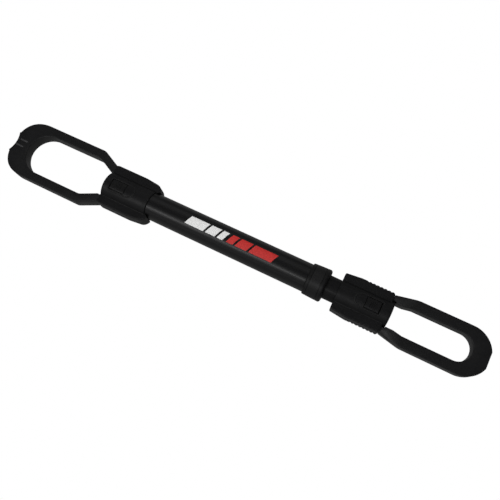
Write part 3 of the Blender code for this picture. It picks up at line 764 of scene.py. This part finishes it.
def head(spec):
    """A head's two shells, hollowed out for the tube, the loop's legs, the button and the screws."""
    side = spec["side"]
    for part, sign in (("head_cover", 1), ("head_body", -1)):
        name = f"{side}_{part}_skin"
        mesh = carved(head_half(name, spec, sign), head_tools(spec) + screw_tools(spec), sharp=32)
        mesh.transform(head_matrix(spec))
        piece(name, mesh, spec["body"], "black_plastic", HEAD_PLASTIC, f"{side}_{part}")


def bezel(spec):
    """A raised bead round the button, which widens into a thumb arc on the tube side."""
    x0, x1 = spec["button"]
    name = f"{spec['side']}_button_bezel"
    reach, bead, proud = 0.0105, 0.0010, 0.00050
    half = BUTTON_HALF + GAP + bead
    start, arc_x, corner, seat = x0 - 0.0018, x1 + 0.0012, 0.0014, spec["barrel_r"] - bead + proud
    path = [(arc_x + reach * sin(a), half * cos(a)) for a in (pi * k / 24 for k in range(25))]
    path += filleted((x1, -half), (start, -half), (start, half), corner, 5)
    path += filleted((start, -half), (start, half), (x1, half), corner, 5)
    curve = bpy.data.curves.new(name, "CURVE")
    curve.dimensions = "3D"
    curve.bevel_depth = bead
    curve.bevel_resolution = 4
    spline = curve.splines.new("POLY")
    spline.points.add(len(path) - 1)
    for point, (x, y) in zip(spline.points, path):
        point.co = (x, y, sqrt(seat ** 2 - y ** 2), 1.0)
    spline.use_cyclic_u = True
    holder = bpy.data.objects.new(name, curve)
    bpy.context.scene.collection.objects.link(holder)
    mesh = evaluated(holder)
    mesh.shade_smooth()
    mesh.transform(head_matrix(spec))
    piece(name, mesh, spec["body"], "black_plastic", HEAD_PLASTIC)


def button(spec):
    """A crowned thumb button with cross ridges, its edges rounded, on a square stem."""
    side = spec["side"]
    name = f"{side}_release_button_skin"
    x0, x1 = spec["button"]
    crown = spec["barrel_r"] + CROWN
    ridge_x0, ridge_pitch = x0 + RIDGE_INSET, (x1 - x0 - 2 * RIDGE_INSET) / RIDGES
    along, across = 96, 28

    def height(x, y):
        """The top's height over (x, y): a crown, lower at the rounded edges, with ridges that fade at their ends."""
        drop = rounded_inset(min(x - x0, x1 - x, BUTTON_HALF - abs(y)), BUTTON_EDGE)
        place = (x - ridge_x0) / ridge_pitch
        fade = max(0.0, min(1.0, (BUTTON_HALF - 0.0012 - abs(y)) / 0.0008))
        lift = RIDGE_HEIGHT * sin(pi * place) ** 6 * fade if 0.0 < place < RIDGES else 0.0
        return sqrt(crown ** 2 - y ** 2) - drop + lift

    def spread(low, high, count):
        """Places from low to high, closer together near both ends."""
        return [low + (high - low) * (0.5 - 0.5 * cos(pi * k / count)) * 0.35 + (high - low) * k / count * 0.65
                for k in range(count + 1)]

    xs, ys = spread(x0, x1, along), spread(-BUTTON_HALF, BUTTON_HALF, across)
    bm = bmesh.new()
    top = [[bm.verts.new((x, y, height(x, y))) for y in ys] for x in xs]
    for near, far in zip(top, top[1:]):
        for k in range(across):
            bm.faces.new((near[k], near[k + 1], far[k + 1], far[k]))
    rim = top[0] + [row[-1] for row in top[1:]] + top[-1][-2::-1] + [row[0] for row in top[-2:0:-1]]
    foot = [bm.verts.new((v.co.x, v.co.y, BUTTON_FOOT_Z)) for v in rim]
    for k in range(len(rim)):
        bm.faces.new((rim[k], rim[k - 1], foot[k - 1], foot[k]))
    bm.faces.new(foot)
    mesh = finished(name, bm, head_matrix(spec))
    piece(name, mesh, f"{side}_button", "black_plastic", BUTTON_PLASTIC, f"{side}_release_button")


# ---------------------------------------------------------------- CAD nodes that stay as they are
def dress(names, mat):
    """Gives CAD nodes a material; their shapes stay as packed."""
    for name in names:
        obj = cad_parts[name]
        obj.data.materials.clear()
        obj.data.materials.append(mat)


def dress_frame():
    sides = ("left", "right")
    dress([f"{side}_seat_pad" for side in sides], PAD_RUBBER)
    dress(["guide_bush", "slide_ring"], BUSH_ACETAL)
    dress(["spring_anchor", "spring_swivel", "tension_spring"], ZINC_STEEL)
    for side in sides:
        dress([f"{side}_pawl_yoke", f"{side}_tube_screw"], ZINC_STEEL)
        dress([f"{side}_case_screw_{k}" for k in (1, 2, 3, 4)], ZINC_STEEL)


def button_spring(spec):
    """A copy of the CAD return spring, with a mesh of its own, carried with the head's bar."""
    side = spec["side"]
    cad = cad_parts[f"{side}_button_spring"]
    mesh = cad.data.copy()
    mesh.transform(cad.matrix_world)
    obj = piece(f"{side}_button_spring_coil", mesh, spec["body"], "zinc_steel", ZINC_STEEL, f"{side}_button_spring")
    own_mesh(obj)


# ---------------------------------------------------------------- stage, lights and camera
BOUNCE = 0.25              # radiance of the floor as the bar itself sees it


def grid(name, height, size):
    """A level square, size to each side of the bar's middle."""
    bm = bmesh.new()
    bmesh.ops.create_grid(bm, x_segments=1, y_segments=1, size=size)
    mesh = bpy.data.meshes.new(name)
    bm.to_mesh(mesh)
    bm.free()
    obj = bpy.data.objects.new(name, mesh)
    obj.location = (0.0, 0.0, height)
    return obj


def stage():
    """A plain white sweep: what the camera sees is burnt out, while the light it throws back is a soft grey."""
    floor = grid("floor", cad_box[0][2] - 0.0002, 12.0)
    bounce = grid("bounce", cad_box[0][2] - 0.0004, 1.5)
    bm = bmesh.new()
    bmesh.ops.create_icosphere(bm, subdivisions=3, radius=11.0)
    sky_mesh = bpy.data.meshes.new("surround")
    bm.to_mesh(sky_mesh)
    bm.free()
    surround = bpy.data.objects.new("surround", sky_mesh)
    for obj in (floor, surround):
        obj.visible_diffuse = False
        obj.visible_glossy = False
        obj.visible_transmission = False
        obj.visible_shadow = False
    bounce.visible_camera = False
    bounce.visible_shadow = False
    for obj, glow in ((floor, 1.0), (surround, 1.0), (bounce, BOUNCE)):
        bpy.context.scene.collection.objects.link(obj)
        mat = bpy.data.materials.new(f"{obj.name}_white")
        mat.use_nodes = True
        shader = mat.node_tree.nodes["Principled BSDF"]
        shader.inputs["Base Color"].default_value = (0.0, 0.0, 0.0, 1.0)
        shader.inputs["Roughness"].default_value = 0.9
        shader.inputs["Specular IOR Level"].default_value = 0.0
        shader.inputs["Emission Color"].default_value = (1.0, 1.0, 1.0, 1.0)
        shader.inputs["Emission Strength"].default_value = glow
        obj.data.materials.append(mat)


def area_light(name, direction, distance, size, power):
    """A soft rectangular light aimed at the middle of the bar, its long side along the bar."""
    target = Vector((0.0, 0.0, AXIS_Z))
    light = bpy.data.lights.new(name, "AREA")
    light.shape = "RECTANGLE"
    light.size, light.size_y = size
    light.energy = power
    obj = bpy.data.objects.new(name, light)
    bpy.context.scene.collection.objects.link(obj)
    back = Vector(direction).normalized()
    along = (Vector((1.0, 0.0, 0.0)) - back * back.x).normalized()
    turned_to = Matrix((along, back.cross(along), back)).transposed().to_4x4()
    obj.matrix_world = Matrix.Translation(target + back * distance) @ turned_to
    return obj


def lights():
    """A long narrow key along the bar, weak fills, and a large overhead light that reaches only matt surfaces."""
    world = bpy.data.worlds.new("studio")
    world.use_nodes = True
    world.node_tree.nodes["Background"].inputs["Color"].default_value = (0.10, 0.10, 0.105, 1.0)
    bpy.context.scene.world = world
    area_light("key", direction=(-0.26, -0.59, 0.81), distance=1.1, size=(1.0, 0.12), power=2.4)
    area_light("fill", direction=(-0.30, 0.75, 0.80), distance=1.5, size=(1.2, 0.9), power=1.0)
    area_light("front", direction=(-0.20, -0.95, 0.30), distance=1.2, size=(1.0, 0.4), power=0.4)
    tent = area_light("tent", direction=(0.0, 0.0, 1.0), distance=1.6, size=(2.0, 2.0), power=29.0)
    tent.visible_glossy = False


def camera():
    """The viewpoint: above the bar and a little towards the wide loop's near side, rolled so the bar falls right."""
    place, aim = Vector((0.14005, -0.12770, 0.57700)), Vector((0.02595, 0.0, AXIS_Z))
    roll, half_view = radians(24.894), 250.0 / 529.67
    back = (place - aim).normalized()
    level = (Vector((1.0, 0.0, 0.0)) - back * back.x).normalized()
    up = back.cross(level)
    right = cos(roll) * level + sin(roll) * up
    up = -sin(roll) * level + cos(roll) * up
    data = bpy.data.cameras.new("camera")
    data.sensor_width = 36.0
    data.lens = 18.0 / half_view
    data.shift_y = 0.0026
    data.clip_start, data.clip_end = 0.01, 100.0
    obj = bpy.data.objects.new("camera", data)
    obj.matrix_world = Matrix.Translation(place) @ Matrix((right, up, back)).transposed().to_4x4()
    bpy.context.scene.collection.objects.link(obj)
    bpy.context.scene.camera = obj


# ---------------------------------------------------------------- build
tube("outer_tube_skin", "outer_tube", "outer_bar", OUTER_R, OUTER_WALL, TUBE_PAINT)
tube("inner_tube_skin", "inner_tube", "inner_bar", INNER_R, INNER_WALL, SLIDE_PAINT)
nose_ribs(LEFT)
collar()
stripes()
for end in (LEFT, RIGHT):
    head(end)
    bezel(end)
    button(end)
    button_spring(end)
    loop(end)
dress_frame()
stage()
lights()
camera()
bpy.context.scene.view_settings.view_transform = "Standard"
